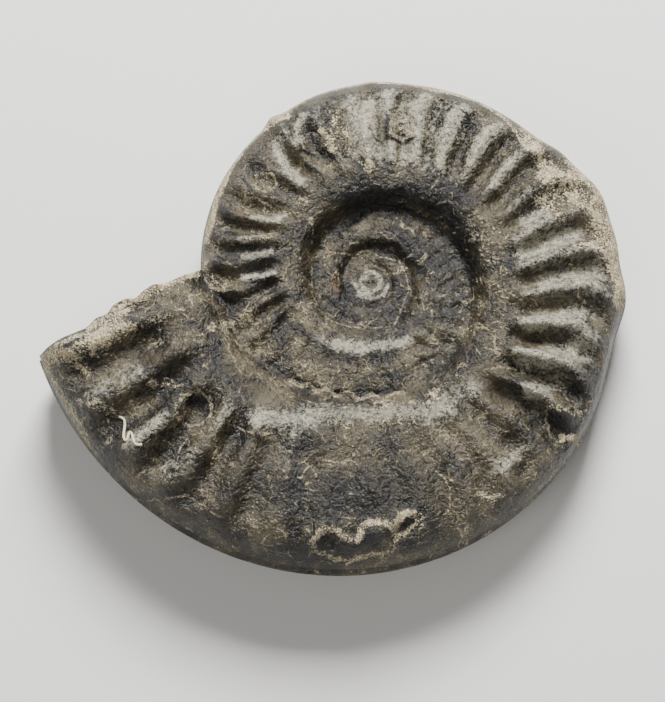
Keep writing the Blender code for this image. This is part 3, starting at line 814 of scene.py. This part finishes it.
def vein_mask(x, y, above):
    """Two values: the share of the nearest vein, less its distance over a reach, and rust."""
    turn, radius = polar(x, y)
    off_keel_vein = np.abs(keel_radius(turn) - KEEL_VEIN_INSET - radius)
    near = [swell(turn, *KEEL_VEIN) - off_keel_vein / VEIN_REACH]
    for half_width, share, corners in laid(VEINS):
        near.append(share - (distance_to(x, y, corners) - half_width) / VEIN_REACH)
    vein = above * np.clip(np.maximum.reduce(near), 0.0, 1.0)
    mottle = BACK_MOTTLE * (1.0 + unevenness(x, y, BACK_RUST_CELL, seed=22))
    rust = above * closeness(x, y, laid(RUST)) + (1.0 - above) * mottle
    return np.clip(np.stack([vein, rust, 0.0 * x, 1.0 + 0.0 * x], axis=1), 0.0, 1.0)


places = np.empty(3 * len(mesh.vertices))
mesh.vertices.foreach_get("co", places)
x, y, z = places.reshape(-1, 3).T / MM - np.array([[AXIS_X], [AXIS_Y], [MIDDLE_HEIGHT]])
above = ease((z + DIP * x + EDGE_REACH) / EDGE_REACH)
for name, values in (("finish_and_light", finish_and_light_mask(x, y, z + DIP * x, above)), ("veins", vein_mask(x, y, above))):
    layer = mesh.color_attributes.new(name, "FLOAT_COLOR", "POINT")
    layer.data.foreach_set("color", values.ravel())
    print(name, values.mean(axis=0).round(2))

# %% [markdown]
# ## The stone
# This is limestone stained dark by pyrite and clay. Where ribs stand out it is rubbed to a silvery
# gloss, and the same silver is painted on as highlight where the light from behind would catch the shell.
# Where the shell itself or a mineral skin is left it is pale, dry calcite, as grains of a few tenths of a
# millimetre. Painted shadow darkens hollows, seams, lenses and the lower part. One node tree lays these
# over each other by their masks, with noise on the masks' edges, so that each patch ends in crumbs and
# not in a smooth line.
#
# The noise has four sizes, as in the real stone: clouds where mud and shell differ, lumps, grit, and
# dust of a third of a millimetre, which is the finest that the picture shows.

# %% Colours and a helper for nodes


def linear(code):
    """An sRGB hex code as linear red, green, blue and 1."""
    parts = np.array([int(code[at: at + 2], 16) for at in (0, 2, 4)]) / 255.0
    return (*np.where(parts <= 0.04045, parts / 12.92, ((parts + 0.055) / 1.055) ** 2.4), 1.0)


def node(tree, kind, links=(), **settings):
    """Adds a node with its own settings, then sets each listed input to a value or links it."""
    made = tree.nodes.new(kind)
    for name, value in settings.items():
        setattr(made, name, value)
    for name, value in links:
        if isinstance(value, bpy.types.NodeSocket):
            tree.links.new(value, made.inputs[name])
        else:
            made.inputs[name].default_value = value
    return made


# The silver grey is rubbed stone and painted highlight alike
DARK_STONE, STAINED_STONE, SILVER_AND_HIGHLIGHT_GREY = map(linear, ("100d09", "554d3a", "a09b89"))
OLIVE_BROWN, RUST_BROWN, DEEP_SHADOW = map(linear, ("362e1c", "4c331c", "090705"))
CALCITE_BROWN, CALCITE_CREAM, CALCITE_WHITE = map(linear, ("63543a", "a39470", "e2d8ba"))
CHALK_WHITE, PAPER_WHITE, STUDIO_WHITE = map(linear, ("d0c5a6", "e4e3e0", "e8e6e0"))
print("rubbed silver in linear light is", [round(float(part), 2) for part in SILVER_AND_HIGHLIGHT_GREY])

# %% Patterns of the stone, by real size
# Noise: largest lump in mm, and how many finer layers it has
NOISES = ((9.0, 5.0), (2.6, 5.0), (0.9, 4.0), (0.35, 3.0))
NOISE_ROUGHNESS = 0.6
# Cracks: size of the cells that they run round, and how far those bend, in mm
CRACKS = ((5.0, 6.0), (2.2, 2.6), (1.7, 1.0))
GRAIN_STEP = 0.9

stone = bpy.data.materials.new("dark limestone with calcite")
stone.use_nodes = True
tree = stone.node_tree
shader = tree.nodes["Principled BSDF"]
where = node(tree, "ShaderNodeTexCoord").outputs["Object"]
# Crust, silver with painted highlight, olive, and painted shadow in the alpha
finish_and_light = node(tree, "ShaderNodeVertexColor", layer_name="finish_and_light")
crust, silver_and_highlight, olive = node(tree, "ShaderNodeSeparateColor", [("Color", finish_and_light.outputs["Color"])]).outputs[:3]
veins = node(tree, "ShaderNodeVertexColor", layer_name="veins")
vein, rust, _ = node(tree, "ShaderNodeSeparateColor", [("Color", veins.outputs["Color"])]).outputs[:3]
shadow = finish_and_light.outputs["Alpha"]

noises = []
for lump, detail in NOISES:
    links = [("Vector", where), ("Scale", 1.0 / (lump * MM))]
    links += [("Detail", detail), ("Roughness", NOISE_ROUGHNESS)]
    noises.append(node(tree, "ShaderNodeTexNoise", links).outputs["Fac"])
clouds, lumps, grit, dust = noises

cracks = []
for cell, bend in CRACKS:
    scale = ("Scale", 1.0 / (cell * MM))
    wobble = node(tree, "ShaderNodeTexNoise", [("Vector", where), scale]).outputs["Color"]
    push = node(tree, "ShaderNodeVectorMath", [(0, wobble), ("Scale", bend * MM)], operation="SCALE")
    spot = node(tree, "ShaderNodeVectorMath", [(0, where), (1, push.outputs[0])], operation="ADD")
    links = [("Vector", spot.outputs[0]), scale]
    edges = node(tree, "ShaderNodeTexVoronoi", links, feature="DISTANCE_TO_EDGE")
    cracks.append(edges.outputs["Distance"])
net, web, chips = cracks

links = [("Vector", where), ("Scale", 1.0 / (GRAIN_STEP * MM))]
grains = node(tree, "ShaderNodeTexVoronoi", links).outputs["Distance"]
print(len(noises), "noises and", len(cracks), "nets of cracks, from", NOISES[-1][0], "to", NOISES[0][0], "mm")

# %% Masks of the stone


def weighed(parts, start=0.0):
    """A start plus all parts, each a socket times the share that it counts."""
    total = start
    for socket, share in parts:
        links = [(0, socket), (1, share), (2, total)]
        total = node(tree, "ShaderNodeMath", links, operation="MULTIPLY_ADD").outputs[0]
    return total


def mask(parts, low, high, most=1.0):
    """0 where the weighed parts are low, most where they are high, and even between."""
    links = [("Value", weighed(parts)), ("From Min", low), ("From Max", high), ("To Max", most)]
    return node(tree, "ShaderNodeMapRange", links).outputs["Result"]


def largest(first, *others):
    """The largest of some masks at each place."""
    for other in others:
        first = node(tree, "ShaderNodeMath", [(0, first), (1, other)], operation="MAXIMUM").outputs[0]
    return first


is_stained = mask([(clouds, 0.60), (lumps, 0.25), (grit, 0.15), (dust, 0.45)], 0.67, 0.82)
# Silver: partly rubbed stone, partly painted highlight where the light from behind falls
is_silver_and_highlight = mask([(silver_and_highlight, 1.0), (lumps, 0.8), (grit, 1.6), (dust, 1.4)], 2.50, 3.10)
is_olive = mask([(olive, 0.7), (lumps, 0.5)], 0.45, 0.85)
is_rust = mask([(rust, 0.6), (grit, 1.0), (dust, 0.8)], 1.38, 1.52, most=0.75)
# Painted shadow, in the deep shadow colour
is_shadow = mask([(shadow, 0.8), (lumps, 0.3)], 0.30, 0.80)

# Calcite keeps off smooth places. Nets and grains show only in their own patches
smooth = weighed([(silver_and_highlight, 0.20), (olive, 0.15), (shadow, 0.10)])
net_patches = mask([(lumps, 0.6), (grit, 0.4), (smooth, -1.0)], 0.47, 0.54)
web_patches = mask([(clouds, 0.7), (grit, 0.3), (smooth, -1.0)], 0.52, 0.58)
grain_patches = mask([(clouds, 0.5), (lumps, 0.5), (smooth, -1.0)], 0.46, 0.54)
is_net = mask([(net, 1.0)], 0.030, 0.010, most=net_patches)
is_web = mask([(web, 1.0)], 0.050, 0.015, most=web_patches)
is_grain = mask([(grains, 1.0)], 0.20, 0.12, most=grain_patches)
is_vein = mask([(vein, 1.0), (grit, 0.35), (dust, 0.15)], 1.15, 1.24)
is_crust = mask([(crust, 0.60), (lumps, 0.45), (grit, 0.70), (dust, 0.50)], 1.20, 1.32)
is_line = largest(is_net, is_web, is_vein)
is_pale = largest(weighed([(is_line, 0.70)]), is_grain, is_crust)
print(len(tree.nodes), "nodes so far")

# %% Colour, gloss and relief of the stone


def painted(colour, layers):
    """A colour with others laid over it in turn, each where its mask is."""
    for share, above in layers:
        links = [(0, share), (6, colour), (7, above)]
        colour = node(tree, "ShaderNodeMix", links, data_type="RGBA").outputs[2]
    return colour


calcite = painted(CALCITE_BROWN, (
    (mask([(lumps, 1.0)], 0.40, 0.60), CALCITE_CREAM),
    (mask([(dust, 1.0)], 0.48, 0.64), CALCITE_WHITE),
))
colour = painted(DARK_STONE, (
    (is_stained, STAINED_STONE),
    (is_silver_and_highlight, SILVER_AND_HIGHLIGHT_GREY),
    (is_olive, OLIVE_BROWN),
    (is_rust, RUST_BROWN),
    (is_shadow, DEEP_SHADOW),
    (weighed([(is_pale, 0.85)]), calcite),
))
tree.links.new(colour, shader.inputs["Base Color"])

roughness = weighed([(is_silver_and_highlight, -0.14), (is_pale, 0.45), (grit, 0.25), (is_olive, 0.10)], start=0.17)
tree.links.new(roughness, shader.inputs["Roughness"])

# Heights in mm
facets = mask([(chips, 1.0)], 0.0, 0.22)
relief = weighed([
    (lumps, 0.80), (grit, 0.28), (dust, 0.30), (facets, 0.12), (is_crust, 0.16), (is_line, 0.10),
])
bump = node(tree, "ShaderNodeBump", [("Height", relief), ("Strength", 1.0), ("Distance", MM)])
tree.links.new(bump.outputs["Normal"], shader.inputs["Normal"])

ammonite.data.materials.append(stone)
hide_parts("ammonite")
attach(ammonite, "root")
print(len(tree.nodes), "nodes in", stone.name)

# %% [markdown]
# ## The little white tube
# Near the aperture a thin white thread winds over a rib. It is crisp and round, as the chalky tube of a
# small worm is that settled on the dead shell. It is a curve with a round bevel, laid on the flank with
# its underside just sunk in.

# %% Worm tube
# Places along the tube in pixels of the picture, and its radius and how deep it is sunk in mm
TUBE = (
    (119, 416), (123, 417), (125, 422), (124, 430), (123, 437), (126, 441), (128, 436), (129, 431),
    (132, 433), (133, 440), (136, 445), (142, 444),
)
TUBE_RADIUS, TUBE_SUNK = 0.24, 0.04

line = bpy.data.curves.new("worm tube", "CURVE")
line.dimensions = "3D"
line.bevel_depth = TUBE_RADIUS * MM
line.bevel_resolution = 3
line.use_fill_caps = True
spline = line.splines.new("NURBS")
spline.points.add(len(TUBE) - 1)
spline.use_endpoint_u, spline.order_u, spline.resolution_u = True, 3, 6
for point, pixel in zip(spline.points, TUBE):
    x, y = on_shell(pixel)
    spot = flank_points(np.hypot([x], [y]), np.degrees(np.arctan2([x], [y])), 1.0)[0]
    point.co = (*(spot + (0.0, 0.0, TUBE_RADIUS - TUBE_SUNK)) * MM, 1.0)
guide = bpy.data.objects.new("worm tube guide", line)
bpy.context.scene.collection.objects.link(guide)
guide_now = guide.evaluated_get(bpy.context.evaluated_depsgraph_get())
worm = bpy.data.objects.new("worm_tube", bpy.data.meshes.new_from_object(guide_now))
bpy.data.objects.remove(guide)
bpy.context.scene.collection.objects.link(worm)
worm.data.shade_smooth()
chalk = bpy.data.materials.new("chalky calcite tube")
chalk.use_nodes = True
chalk.node_tree.nodes["Principled BSDF"].inputs["Base Color"].default_value = CHALK_WHITE
chalk.node_tree.nodes["Principled BSDF"].inputs["Roughness"].default_value = 0.65
worm.data.materials.clear()
worm.data.materials.append(chalk)
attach(worm, "root")
print("worm tube of", len(worm.data.vertices), "points")

# %% [markdown]
# ## Floor and light
# The floor is plain and pale. The light comes from a small strong panel high behind, so that each rib
# has a gloss and a soft shadow, and from a large weak one in front, which opens the shadows a little.

# %% Floor
FLOOR_REACH = 3.0
floor_corners = [(FLOOR_REACH * x, FLOOR_REACH * y, 0.0) for x, y in ((-1, -1), (1, -1), (1, 1), (-1, 1))]
floor_mesh = bpy.data.meshes.new("floor")
floor_mesh.from_pydata(floor_corners, [], [(0, 1, 2, 3)])
floor = bpy.data.objects.new("floor", floor_mesh)
bpy.context.scene.collection.objects.link(floor)
paper = bpy.data.materials.new("pale paper")
paper.use_nodes = True
paper.node_tree.nodes["Principled BSDF"].inputs["Base Color"].default_value = PAPER_WHITE
paper.node_tree.nodes["Principled BSDF"].inputs["Roughness"].default_value = 0.9
floor_mesh.materials.append(paper)
print("floor", 2.0 * FLOOR_REACH, "m wide")

# %% Light
AIM = (0.0, 0.0, 0.01)
# Name, place and size in metres, and power in watts
PANELS = (("back panel", (0.02, 0.50, 0.50), 0.28, 15.0), ("front panel", (-0.3, -0.5, 0.7), 0.6, 3.0))

world = bpy.data.worlds.new("studio")
bpy.context.scene.world = world
world.use_nodes = True
world.node_tree.nodes["Background"].inputs["Color"].default_value = STUDIO_WHITE
world.node_tree.nodes["Background"].inputs["Strength"].default_value = 0.20

for name, place, size, power in PANELS:
    light = bpy.data.lights.new(name, "AREA")
    light.shape, light.size, light.energy = "SQUARE", size, power
    lamp = bpy.data.objects.new(name, light)
    facing = (Vector(place) - Vector(AIM)).to_track_quat("Z", "Y")
    lamp.matrix_world = Matrix.LocRotScale(Vector(place), facing, None)
    bpy.context.scene.collection.objects.link(lamp)
    print(name, size, "m wide, at", place)
